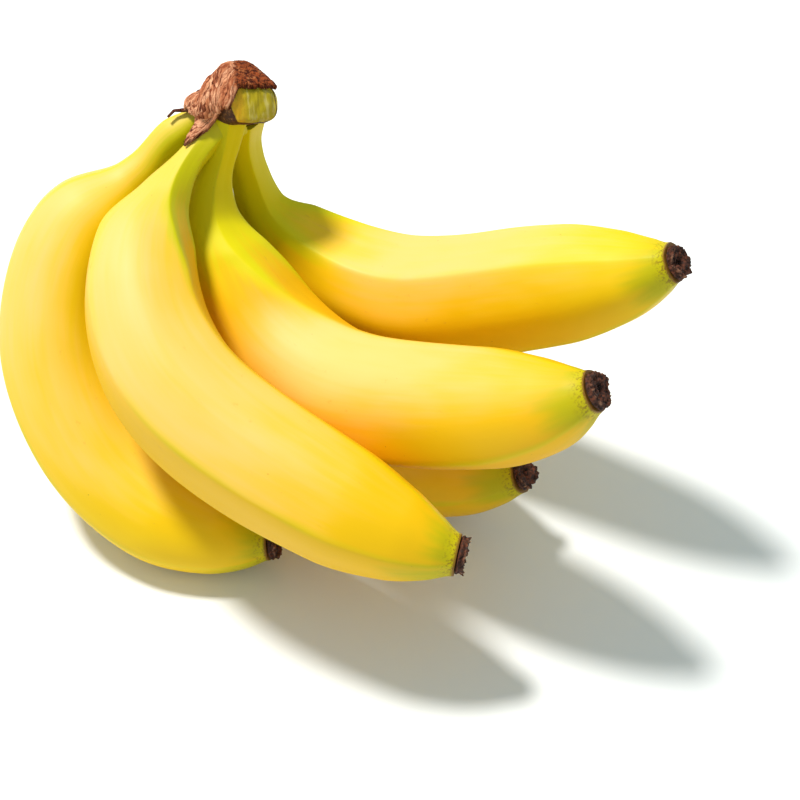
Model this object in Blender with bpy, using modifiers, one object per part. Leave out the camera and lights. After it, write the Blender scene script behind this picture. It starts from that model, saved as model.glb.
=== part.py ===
"""A hand of five ripe bananas lying as it was picked, in metres, +Z up.

Five fruits grow from one woody crown. Each is a separate solid: its stalk sits in a socket of the
crown, and its far end carries the dried remains of the flower. A dry brown husk caps the crown.
finger_1 and finger_5 carry the bunch, each on a small flat spot at z = 0. The origin is the middle
of the bottom of the bunch's bounding box. Design values are millimetres and degrees.
"""

from dataclasses import dataclass
from math import cos, pi, radians, sin

import bmesh
import bpy
from mathutils import Matrix, Vector

MM = 0.001
GAP = 0.35                      # clearance kept between neighbouring pieces

# Fruit: girth profile along the curve. Knots are (share of length, radius); the first three
# shares are in units of the stalk's own share, the next two are added to it.
STALK_RADII = ((0.0, 4.8), (0.5, 3.8), (1.0, 6.8))
SHOULDER_RADII = ((0.08, 13.4), (0.18, 16.8))
BODY_RADII = (
    (0.50, 18.2), (0.66, 17.8), (0.80, 16.8), (0.90, 13.0), (0.96, 8.6), (0.985, 6.4), (1.0, 6.0),
)
SIDES = 25                      # a multiple of the five ridges, so each ridge lies on an edge
RIDGES = 5
RIDGE_OFFSET = 36.0             # first ridge, measured from the inner side of the curve
RIDGE_SHARP = 0.085             # how far the ridges stand out, as a share of the radius
RIDGE_END = 0.45                # share of that left at the flower end
RINGS = 33
STEPS = 240                     # integration steps along a fruit
SOCKET_START = 1.0              # distance along the stalk at which its solid begins
SOCKET_REACH = 40.0             # how far along the stalk its clearance is cut
PEG_RADIUS = 2.5                # the stalk's radius at its start, inside the crown
PEG_GROWTH = 0.22               # and how fast it may widen from there
ROOT_FADE = 32.0                # how far along a stalk a shift of its root fades out
NECK_SPAN = (9.0, 25.0, 27.0, 50.0)    # a bow of the neck: begins, full from, full to, gone
LEAN_REACH = 16.0               # length over which a flower end turns aside
TIP_LENGTH = 3.0                # what the dried flower end takes of a fruit's length
BEND_SPREAD = 0.16              # share of length over which the shoulder turns

# Crown: two rounded blocks grown into one, the woody top and the green cushion that the stalks
# grow from. Each is bounded by soft flats, (outward normal, distance from the block's middle), in
# axes that lean back from the vertical: X to the right, Y up, Z out of the cut face.
CROWN_PLACE = (-27.0, 55.0, 113.0)
CROWN_LEAN = 51.0
CROWN_TURN = 6.0
CROWN_ROUNDING = 11.0           # the larger, the sharper the edges between the flats
CROWN_FLATS = (
    ((0.36, 0.00, 0.93), 12.2),     # cut face
    ((0.30, 0.80, 0.52), 9.2),      # top
    ((-0.62, 0.45, 0.64), 9.4),     # upper left
    ((-0.74, -0.33, 0.58), 9.8),    # lower left, above the stalk of finger_2
    ((1.00, 0.00, 0.00), 12.3),     # right end
    ((0.72, 0.69, 0.00), 9.4),
    ((0.00, 1.00, 0.00), 8.9),
    ((-0.78, 0.63, 0.00), 7.2),
    ((-1.00, 0.00, 0.00), 17.5),    # left end
    ((-0.50, -0.87, 0.00), 12.0),
    ((0.00, -1.00, 0.00), 8.2),     # underside
    ((0.50, -0.87, 0.00), 11.9),
    ((0.00, 0.25, -0.97), 13.5),    # back
)
CUSHION_SHIFT = (-2.5, -5.5, -1.0)  # from the crown's middle to the cushion's, in the same axes
CUSHION_FLATS = (
    ((0.00, 0.00, 1.00), 11.0),
    ((0.62, 0.00, 0.78), 10.5),     # front right
    ((-0.62, 0.00, 0.78), 7.5),     # front left
    ((1.00, 0.00, 0.00), 10.8),
    ((-1.00, 0.00, 0.00), 10.0),
    ((0.00, -1.00, 0.00), 5.2),     # underside, where the stalks come out
    ((-0.64, -0.77, 0.00), 7.0),
    ((0.00, 1.00, 0.00), 8.0),
    ((0.00, -0.30, -0.95), 13.0),   # back
)

# Husk: a shell over the crown's top and left end, with a pointed flap and a dry strand.
HUSK_THICKNESS = 1.65           # before its inner side is cut back to the clearance
HUSK_SINK = 0.05                # height of that inner side over the crown
HUSK_ENDS = (-80.0, 62.0)       # from the left end to the right one, as latitudes about local X
HUSK_BACK = -72.0               # its rear edge, as an angle about local X from the top
HUSK_FRONT_LEFT = 128.0         # its front edge at the left end
HUSK_FRONT_MIDDLE = 106.0       # beside the cut face
HUSK_FRONT_RIGHT = 76.0         # and above the cut face
FLAP_REACH = 16.5               # how far its point reaches along the stalk of finger_2
FLAP_CENTRE = 124.0             # around that stalk
FLAP_HALF_WIDTH = 44.0
STRAND_RADIUS = 0.8
STRAND_BENDS = ((-15.5, -1.2, -4.2), (-19.4, -3.8, -5.8))    # from the crown's middle

TIP_SIDES = 15
TIP_PROFILE = ((0.0, 5.5), (0.8, 5.9), (1.7, 5.3), (2.6, 5.6), (3.1, 4.8), (2.8, 3.3), (1.6, 1.9))


@dataclass(frozen=True)
class Fruit:
    """One fruit: where its stalk starts, which way it heads and how it bends on its way."""

    name: str
    root: tuple                 # centre of the stalk where it joins the crown
    heading: float              # compass direction of the stalk, anticlockwise from +X
    dip: float                  # slope of the stalk, negative downwards
    roll: float                 # turn of the bending plane about the stalk
    shoulder_bend: float        # turn where the stalk widens into the body
    body_bend: float            # turn spread evenly along the body
    end_bend: float             # turn added over the last half, negative straightens it
    sway: float                 # drift out of the bending plane
    length: float
    girth: float                # radius as a share of the common profile
    stalk_share: float          # share of the length that is stalk
    ridge_turn: float = 0.0
    root_shift: float = 0.0     # sideways shift of the root along X, fading out along the stalk
    tip_lean: float = 0.0       # how far the flower end is turned towards +X
    neck_girth: float = 1.0     # factor on the stalk's radius halfway along it
    neck_end: float = 1.0       # where the body's widening starts, as a share of the stalk
    neck_bow: tuple = (0, 0, 0)     # how far the neck is bowed aside


FRUITS = (
    Fruit("finger_1", (-37, 55, 108), -164, -32, 131, -8, 160, -3, -1, 183, 0.99, 0.155,
          neck_girth=1.36, neck_bow=(2.3, 0, -2.9)),
    Fruit("finger_2", (-30, 54, 107), -132, -21, 108, -2, 175, -56, 2, 185, 1.01, 0.165,
          neck_bow=(2.4, 0, 0)),
    Fruit("finger_3", (-27, 45, 113), -138, -72, 100, 15, 187, -57, 5, 195, 1.00, 0.190, -16, 2.2, 0.45,
          neck_girth=0.97, neck_end=0.75, neck_bow=(-1.5, 0, 0)),
    Fruit("finger_4", (-21, 54, 108), 151, -82, 182, 32, 185, -71, 2, 192, 0.95, 0.180, 0, -1.5, 0.4,
          neck_girth=1.18, neck_bow=(-0.7, 0, 0)),
    Fruit("finger_5", (-30, 60, 105), -171, -65, 134, -12, 206, -51, -6, 195, 0.99, 0.140),
)


def eased(amount):
    """Smooth step from 0 to 1, flat at both ends."""
    amount = min(max(amount, 0.0), 1.0)
    return amount * amount * (3 - 2 * amount)


def blend_knots(knots, at):
    """Monotone cubic through (position, value) knots, with no overshoot between them."""
    count = len(knots)
    slopes = [
        (knots[k + 1][1] - knots[k][1]) / (knots[k + 1][0] - knots[k][0]) for k in range(count - 1)
    ]
    turns = [slopes[0]]
    for before, after in zip(slopes, slopes[1:]):
        turns.append(2 * before * after / (before + after) if before * after > 0 else 0.0)
    turns.append(slopes[-1])
    k = max(i for i in range(count - 1) if knots[i][0] <= at or i == 0)
    span = knots[k + 1][0] - knots[k][0]
    t = min(max((at - knots[k][0]) / span, 0.0), 1.0)
    start, end = knots[k][1], knots[k + 1][1]
    return (
        start * (1 + 2 * t) * (1 - t) ** 2
        + end * t * t * (3 - 2 * t)
        + span * t * (1 - t) * (turns[k] * (1 - t) - turns[k + 1] * t)
    )


def fruit_radius(fruit, share):
    """Radius of the fruit at a share of its length."""
    stalk = fruit.stalk_share * fruit.neck_end
    start, middle, end = STALK_RADII
    knots = [start, (stalk * middle[0], middle[1] * fruit.neck_girth), (stalk * end[0], end[1])]
    knots += [(stalk + at, radius) for at, radius in SHOULDER_RADII]
    knots += BODY_RADII
    peg = PEG_RADIUS + PEG_GROWTH * share * fruit.length
    return min(blend_knots(knots, share) * fruit.girth, peg)


def stalk_axes(fruit):
    """Unit vectors along the stalk, towards the inside of the bend, and across the bend."""
    heading, dip, roll = radians(fruit.heading), radians(fruit.dip), radians(fruit.roll)
    along = Vector((cos(dip) * cos(heading), cos(dip) * sin(heading), sin(dip)))
    upward = Vector((-sin(dip) * cos(heading), -sin(dip) * sin(heading), cos(dip)))
    level = Vector((-sin(heading), cos(heading), 0.0))
    inward = upward * cos(roll) + level * sin(roll)
    return along, inward, along.cross(inward)


def heading_at(fruit, axes, share):
    """Direction of the fruit's centre line at a share of its length."""
    along, inward, across = axes
    half_stalk = fruit.stalk_share / 2
    body = min(max((share - half_stalk) / (1 - half_stalk), 0.0), 1.0)
    turn = radians(
        fruit.shoulder_bend * eased((share - fruit.stalk_share + 0.06) / BEND_SPREAD)
        + fruit.body_bend * body
        + fruit.end_bend * eased((share - 0.5) / 0.5)
    )
    drift = radians(fruit.sway) * share
    return (along * cos(turn) + inward * sin(turn) + across * drift).normalized()


def centre_line(fruit):
    """Points and directions along the fruit, STEPS + 1 of each."""
    axes = stalk_axes(fruit)
    directions = [heading_at(fruit, axes, k / STEPS) for k in range(STEPS + 1)]
    points = [Vector(fruit.root)]
    for before, after in zip(directions, directions[1:]):
        points.append(points[-1] + (before + after) * (fruit.length / STEPS / 2))
    begins, full_from, full_to, gone = NECK_SPAN
    for k, point in enumerate(points):
        distance = fruit.length * k / STEPS
        rise = eased((distance - begins) / (full_from - begins))
        fade = eased((distance - full_to) / (gone - full_to))
        point += Vector(fruit.neck_bow) * (rise * (1 - fade))
        point.x += fruit.root_shift * (1 - eased(distance / ROOT_FADE))
    return points, directions


def station(fruit, line, distance):
    """Centre and axes (along, inward, across) at a distance along the fruit's centre line."""
    points, directions = line
    across = stalk_axes(fruit)[2]
    place = min(max(distance / fruit.length * STEPS, 0.0), STEPS - 1e-6)
    k = int(place)
    centre = points[k].lerp(points[k + 1], place - k)
    along = directions[k].lerp(directions[k + 1], place - k)
    along.x += fruit.tip_lean * eased((distance - fruit.length) / LEAN_REACH + 1)
    along.normalize()
    across = (across - along * across.dot(along)).normalized()
    return centre, along, across.cross(along), across


def ridge_factor(angle, share):
    """Radius factor of the five-ridged section, where angle is measured from the first ridge."""
    spacing = 360.0 / RIDGES
    from_ridge = abs((angle + spacing / 2) % spacing - spacing / 2) / (spacing / 2)
    height = RIDGE_SHARP * (1 - (1 - RIDGE_END) * eased((share - 0.6) / 0.4))
    return 1 + height * ((1 - from_ridge) ** 2 - 1 / 3)


def section(fruit, line, distance, extra=0.0):
    """Ring of points round the fruit at a distance along it, grown by extra."""
    centre, _, inward, across = station(fruit, line, distance)
    share = distance / fruit.length
    size = fruit_radius(fruit, share)
    ring = []
    for k in range(SIDES):
        angle = RIDGE_OFFSET + fruit.ridge_turn + 360.0 * k / SIDES
        reach = size * ridge_factor(angle - RIDGE_OFFSET - fruit.ridge_turn, share) + extra
        turn = radians(angle)
        ring.append(centre + (inward * cos(turn) + across * sin(turn)) * reach)
    return ring


def loft(name, rings, material, collection):
    """Closed solid through rings of equally many points, capped flat at both ends."""
    shape = bmesh.new()
    layers = [[shape.verts.new(point * MM) for point in ring] for ring in rings]
    for lower, upper in zip(layers, layers[1:]):
        for k in range(len(lower)):
            shape.faces.new((lower[k - 1], lower[k], upper[k], upper[k - 1]))
    shape.faces.new(layers[0])
    shape.faces.new(layers[-1])
    bmesh.ops.recalc_face_normals(shape, faces=shape.faces)
    bmesh.ops.triangulate(shape, faces=shape.faces)
    return to_object(name, shape, material, collection)


def to_object(name, shape, material, collection):
    """Object made from a bmesh, shaded smooth, in the collection."""
    mesh = bpy.data.meshes.new(name)
    shape.to_mesh(mesh)
    shape.free()
    mesh.shade_smooth()
    mesh.set_sharp_from_angle(angle=radians(40))
    if material:
        mesh.materials.append(material)
    made = bpy.data.objects.new(name, mesh)
    collection.objects.link(made)
    return made


def make_material(name, colour, roughness):
    """Principled material of one colour."""
    material = bpy.data.materials.new(name)
    material.use_nodes = True
    shader = material.node_tree.nodes["Principled BSDF"]
    shader.inputs["Base Color"].default_value = (*colour, 1.0)
    shader.inputs["Roughness"].default_value = roughness
    shader.inputs["Metallic"].default_value = 0.0
    material.diffuse_color = (*colour, 1.0)
    return material


def ring_distances(fruit):
    """Where the fruit's rings stand: closer together on its stalk, shoulder and flower end."""
    reach = fruit.length - TIP_LENGTH - SOCKET_START
    spreads = [k / (RINGS - 1) for k in range(RINGS)]
    return [SOCKET_START + reach * (spread - 0.09 * sin(2 * pi * spread)) for spread in spreads]


def make_fruit(fruit, material, collection):
    """The fruit's solid, from inside its socket to the seat of its dried flower end."""
    line = centre_line(fruit)
    rings = [section(fruit, line, distance) for distance in ring_distances(fruit)]
    made = loft(fruit.name, rings, material, collection)
    flatten_underside(made)
    return made


def flatten_underside(made):
    """Cut the mesh off at z = 0, where the fruit's own weight rests on the table."""
    shape = bmesh.new()
    shape.from_mesh(made.data)
    if min(vertex.co.z for vertex in shape.verts) < 0:
        everything = list(shape.verts) + list(shape.edges) + list(shape.faces)
        bmesh.ops.bisect_plane(
            shape, geom=everything, plane_co=(0, 0, 0), plane_no=(0, 0, -1), clear_outer=True
        )
        rim = [edge for edge in shape.edges if edge.is_boundary]
        bmesh.ops.edgeloop_fill(shape, edges=rim)
        bmesh.ops.recalc_face_normals(shape, faces=shape.faces)
    shape.to_mesh(made.data)
    shape.free()


def make_tip(fruit, number, material, collection):
    """The dried flower end: a short wrinkled stub with a ragged rim and a scar in the middle."""
    line = centre_line(fruit)
    seat = fruit.length - TIP_LENGTH + GAP
    centre, along, inward, across = station(fruit, line, seat)
    size = fruit.girth
    rings = []
    for layer, (rise, radius) in enumerate(TIP_PROFILE):
        ring = []
        for k in range(TIP_SIDES):
            turn = 2 * pi * k / TIP_SIDES
            wrinkle = 1 + 0.07 * cos(5 * turn + number) + 0.04 * sin(3 * turn + 2 * number + layer)
            lift = 0.35 * sin(4 * turn + 1.7 * number) if layer in (3, 4) else 0.0
            outward = inward * cos(turn) + across * sin(turn)
            ring.append(centre + along * (rise + lift) + outward * (radius * size * wrinkle))
        rings.append(ring)
    return loft(f"tip_{number}", rings, material, collection)


def crown_frame():
    """Transform that carries the crown's local axes into the world."""
    turn = Matrix.Rotation(radians(CROWN_TURN), 4, "Z")
    return Matrix.Translation(Vector(CROWN_PLACE)) @ turn @ Matrix.Rotation(radians(CROWN_LEAN), 4, "X")


def block_surface(flats, out, lift=0.0):
    """Where a ray along out leaves a rounded block, in the crown's axes, raised by lift."""
    total = 0.0
    facing = Vector((0.0, 0.0, 0.0))
    for flat, distance in flats:
        normal = Vector(flat).normalized()
        share = max(out.dot(normal) / distance, 0.0)
        total += share ** CROWN_ROUNDING
        facing += normal * (share ** (CROWN_ROUNDING - 1) / distance)
    return out * total ** (-1 / CROWN_ROUNDING) + facing.normalized() * lift


def ray(latitude, around):
    """Direction whose latitude runs along local X, and which turns about it from Y to Z."""
    level = cos(radians(latitude))
    return Vector((
        sin(radians(latitude)), level * cos(radians(around)), level * sin(radians(around))
    ))


def crown_point(latitude, around, lift=0.0):
    """Point on the woody block's surface in the world, raised by lift."""
    return crown_frame() @ block_surface(CROWN_FLATS, ray(latitude, around), lift)


def clear_of_cushion(point):
    """The point, pushed out if it lies within the cushion or too near it."""
    local = crown_frame().inverted() @ point - Vector(CUSHION_SHIFT)
    surface = block_surface(CUSHION_FLATS, local.normalized(), HUSK_SINK)
    if local.length > surface.length:
        return point
    return crown_frame() @ (surface + Vector(CUSHION_SHIFT))


def make_block(name, flats, shift, lift, material, collection):
    """Closed solid of a rounded block, shifted within the crown's axes and grown by lift."""
    rows, columns = 18, 28
    rings = []
    for row in range(1, rows):
        latitude = -90 + 180 * row / rows
        surface = [block_surface(flats, ray(latitude, 360 * k / columns), lift) for k in range(columns)]
        rings.append([crown_frame() @ (Vector(shift) + point) for point in surface])
    return loft(name, rings, material, collection)


def make_crown(material, collection, tools):
    """The crown: the woody block joined to the cushion below it."""
    crown = make_block("crown", CROWN_FLATS, (0, 0, 0), 0.0, material, collection)
    cushion = make_block("cushion", CUSHION_FLATS, CUSHION_SHIFT, 0.0, None, tools)
    hide_helper(cushion)
    join(crown, cushion)
    return crown


def make_crown_cutters(tools):
    """The crown's two blocks grown by the clearance, which hollow the husk out."""
    made = [
        make_block("crown_clearance", CROWN_FLATS, (0, 0, 0), GAP, None, tools),
        make_block("cushion_clearance", CUSHION_FLATS, CUSHION_SHIFT, GAP, None, tools),
    ]
    for cutter in made:
        hide_helper(cutter)
    return made


def join(made, extra):
    """Union of the piece with another, by a Boolean modifier that stays on it."""
    union = made.modifiers.new("join " + extra.name, "BOOLEAN")
    union.operation = "UNION"
    union.solver = "EXACT"
    union.object = extra


def sheet(name, rows, columns, place, thickness, material, collection):
    """Shell raised off a grid whose points are place(u, v), with u and v from 0 to 1."""
    shape = bmesh.new()
    grid = [
        [shape.verts.new(place(r / rows, c / columns) * MM) for c in range(columns + 1)]
        for r in range(rows + 1)
    ]
    for lower, upper in zip(grid, grid[1:]):
        for c in range(columns):
            shape.faces.new((lower[c], lower[c + 1], upper[c + 1], upper[c]))
    bmesh.ops.triangulate(shape, faces=shape.faces)
    made = to_object(name, shape, material, collection)
    shell = made.modifiers.new("thickness", "SOLIDIFY")
    shell.thickness = thickness * MM
    shell.offset = 1.0
    return made


def husk_place(u, v):
    """Point of the husk's inner surface: u from the left end to the right, v from back to front."""
    start, end = HUSK_ENDS
    latitude = start + (end - start) * u
    front = HUSK_FRONT_LEFT
    front += (HUSK_FRONT_MIDDLE - HUSK_FRONT_LEFT) * eased((latitude + 32) / 20)
    front += (HUSK_FRONT_RIGHT - HUSK_FRONT_MIDDLE) * eased((latitude + 8) / 16)
    front += 2.5 * sin(radians(latitude * 7)) + 1.5 * sin(radians(latitude * 17))
    around = HUSK_BACK + (front - HUSK_BACK) * v
    return clear_of_cushion(crown_point(latitude, around, HUSK_SINK))


def flap_place(u, v):
    """Point of the flap's inner surface: u from the husk to its point, v across it."""
    fruit = FRUITS[1]
    base = crown_point(-66 + 46 * v, 114, 0.6)
    distance = 6.0 + (FLAP_REACH - 6.0) * u
    centre, _, inward, across = station(fruit, centre_line(fruit), distance)
    width = FLAP_HALF_WIDTH * (1 - u) ** 0.8 + 2.5
    turn = radians(FLAP_CENTRE - width * (2 * v - 1))
    reach = fruit_radius(fruit, distance / fruit.length) * (1 + RIDGE_SHARP) + GAP + 0.15
    over_stalk = centre + (inward * cos(turn) + across * sin(turn)) * reach
    return clear_of_cushion(base.lerp(over_stalk, eased(u / 0.45)))


def strand_mesh(collection, material):
    """The dry curled strand that hangs off the husk's left end, as a thin welded tube."""
    curve = bpy.data.curves.new("strand", "CURVE")
    curve.dimensions = "3D"
    curve.bevel_depth = STRAND_RADIUS * MM
    curve.bevel_resolution = 1
    curve.resolution_u = 6
    curve.use_fill_caps = True
    spline = curve.splines.new("BEZIER")
    bends = [Vector(CROWN_PLACE) + Vector(bend) for bend in STRAND_BENDS]
    points = [crown_point(-68, 112, 0.9)] + bends
    spline.bezier_points.add(len(points) - 1)
    for knot, point in zip(spline.bezier_points, points):
        knot.co = point * MM
        knot.handle_left_type = knot.handle_right_type = "AUTO"
    guide = bpy.data.objects.new("strand_guide", curve)
    collection.objects.link(guide)
    bpy.context.view_layer.update()
    mesh = bpy.data.meshes.new_from_object(guide.evaluated_get(bpy.context.evaluated_depsgraph_get()))
    bpy.data.objects.remove(guide)
    shape = bmesh.new()
    shape.from_mesh(mesh)
    bmesh.ops.remove_doubles(shape, verts=shape.verts, dist=0.00001)
    bmesh.ops.recalc_face_normals(shape, faces=shape.faces)
    return to_object("strand", shape, material, collection)


def make_husk(cutters, material, collection, tools):
    """The husk: its shell, flap and strand in one piece, cut clear of the crown and stalks."""
    husk = sheet("crown_husk", 16, 16, husk_place, HUSK_THICKNESS, material, collection)
    for extra in (sheet("flap", 9, 6, flap_place, 1.0, None, tools), strand_mesh(tools, None)):
        hide_helper(extra)
        join(husk, extra)
    cut_clear(husk, cutters)
    return husk


def cut_clear(made, cutters):
    """Subtract every cutter from the piece, by Boolean modifiers that stay on it."""
    for cutter in cutters:
        cut = made.modifiers.new("clear of " + cutter.name, "BOOLEAN")
        cut.operation = "DIFFERENCE"
        cut.solver = "EXACT"
        cut.object = cutter


def hide_helper(helper):
    """Keep a cutter or guide out of the solids and show it as wire."""
    helper.hide_render = True
    helper.display_type = "WIRE"


def make_stalk_cutter(fruit, collection):
    """The stalk of a fruit grown by the clearance, which cuts its socket."""
    line = centre_line(fruit)
    along = station(fruit, line, SOCKET_START)[1]
    distances = [distance for distance in ring_distances(fruit) if distance < SOCKET_REACH]
    rings = [section(fruit, line, distance, GAP) for distance in distances]
    rings[0] = [point - along * GAP for point in rings[0]]
    cutter = loft(fruit.name + "_socket", rings, None, collection)
    hide_helper(cutter)
    return cutter


def new_collection(name):
    """Collection linked to the scene."""
    made = bpy.data.collections.new(name)
    bpy.context.scene.collection.children.link(made)
    return made


def clear_scene():
    """Remove the objects that Blender starts with."""
    for old in list(bpy.data.objects):
        bpy.data.objects.remove(old)


def main():
    """Build the bunch."""
    clear_scene()
    bunch = new_collection("bunch_of_bananas")
    tools = new_collection("cutters")
    peel = make_material("yellow_peel", (0.86, 0.60, 0.06), 0.38)
    green = make_material("green_crown", (0.42, 0.50, 0.08), 0.55)
    brown = make_material("dry_husk", (0.27, 0.12, 0.06), 0.85)
    dark = make_material("dried_flower_end", (0.06, 0.035, 0.025), 0.9)
    cutters = [make_stalk_cutter(fruit, tools) for fruit in FRUITS]
    for number, fruit in enumerate(FRUITS, 1):
        make_fruit(fruit, peel, bunch)
        make_tip(fruit, number, dark, bunch)
    cut_clear(make_crown(green, bunch, tools), cutters)
    make_husk(cutters + make_crown_cutters(tools), brown, bunch, tools)


main()
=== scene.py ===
"""A hand of five ripe bananas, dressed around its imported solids, in metres, +Z up.

The five fruits, their dried flower ends, the woody crown and the dry husk over it stand for their
solids. They share most of those solids' measures, with finer surfaces, and with fuller necks that
run into one another at the crown. Measures are millimetres and degrees, or a name says otherwise.
"""

import logging
from dataclasses import dataclass
from enum import Enum
from math import atan2, cos, exp, pi, radians, sin
from typing import Sequence, Union

import bmesh
import bpy
import numpy as np
from mathutils import Matrix, Vector, noise


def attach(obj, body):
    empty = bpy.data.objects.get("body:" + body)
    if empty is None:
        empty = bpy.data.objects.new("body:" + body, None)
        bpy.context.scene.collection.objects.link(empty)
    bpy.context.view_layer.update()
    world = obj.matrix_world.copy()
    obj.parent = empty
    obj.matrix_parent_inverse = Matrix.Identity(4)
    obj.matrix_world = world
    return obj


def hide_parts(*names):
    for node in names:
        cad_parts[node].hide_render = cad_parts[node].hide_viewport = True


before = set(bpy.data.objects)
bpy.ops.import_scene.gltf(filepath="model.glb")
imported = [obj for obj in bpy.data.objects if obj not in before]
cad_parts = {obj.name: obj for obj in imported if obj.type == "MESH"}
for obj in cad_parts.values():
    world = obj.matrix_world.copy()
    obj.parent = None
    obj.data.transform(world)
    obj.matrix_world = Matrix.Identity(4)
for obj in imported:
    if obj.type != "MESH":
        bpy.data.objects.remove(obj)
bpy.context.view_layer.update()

MM = 0.001
LOG = logging.getLogger("bananas")
Pair = tuple[float, float]
Triple = tuple[float, float, float]
Colour = Triple
Flats = tuple[tuple[float, float, float, float], ...]
Floats = Sequence[float]
Socket = bpy.types.NodeSocket
Value = Union[Socket, Colour, float]
Key = Union[str, int]
Shape = bmesh.types.BMesh
Layer = bmesh.types.BMLayerItem
Piece = bpy.types.Object
Material = bpy.types.Material
Station = tuple[Vector, Vector, Vector, Vector]


def fade(at: float, start: float, full: float) -> float:
    """Smooth step from 0 at the start to 1 where it is full, which may lie below the start."""
    share = min(max((at - start) / (full - start), 0.0), 1.0)
    return share * share * (3 - 2 * share)


def ripple(x: float, y: float, z: float) -> float:
    """Smooth noise at a place, from -1 to 1 and the same each run."""
    return noise.noise(Vector((x, y, z)))


def blend_knots(knots: Sequence[Pair], at: float) -> float:
    """Monotone cubic through knots.

    Args:
        knots: (position, value) pairs in rising order.
        at: where to read the curve.

    Returns:
        The value there, with no overshoot between knots.
    """
    slopes = [(ahead[1] - here[1]) / (ahead[0] - here[0]) for here, ahead in zip(knots, knots[1:])]
    turns = [slopes[0]]
    for before, after in zip(slopes, slopes[1:]):
        turns.append(2 * before * after / (before + after) if before * after > 0 else 0.0)
    turns.append(slopes[-1])
    k = max(i for i in range(len(slopes)) if knots[i][0] <= at or i == 0)
    span = knots[k + 1][0] - knots[k][0]
    t = min(max((at - knots[k][0]) / span, 0.0), 1.0)
    start, end = knots[k][1], knots[k + 1][1]
    return (
        start * (1 + 2 * t) * (1 - t) ** 2
        + end * t * t * (3 - 2 * t)
        + span * t * (1 - t) * (turns[k] * (1 - t) - turns[k + 1] * t)
    )


class Ripeness(Enum):
    """How far the green of the stalk still runs into a fruit, as a share of its length."""

    TURNED = 0.12
    TURNING = 0.21
    GREEN_NECKED = 0.25


class Slot(Enum):
    """Names of the finish slots."""

    PEEL = "yellow_peel"
    CROWN = "green_crown"
    HUSK = "dry_husk"
    FLOWER_END = "dried_flower_end"


# ---- Finishes ----


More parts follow.
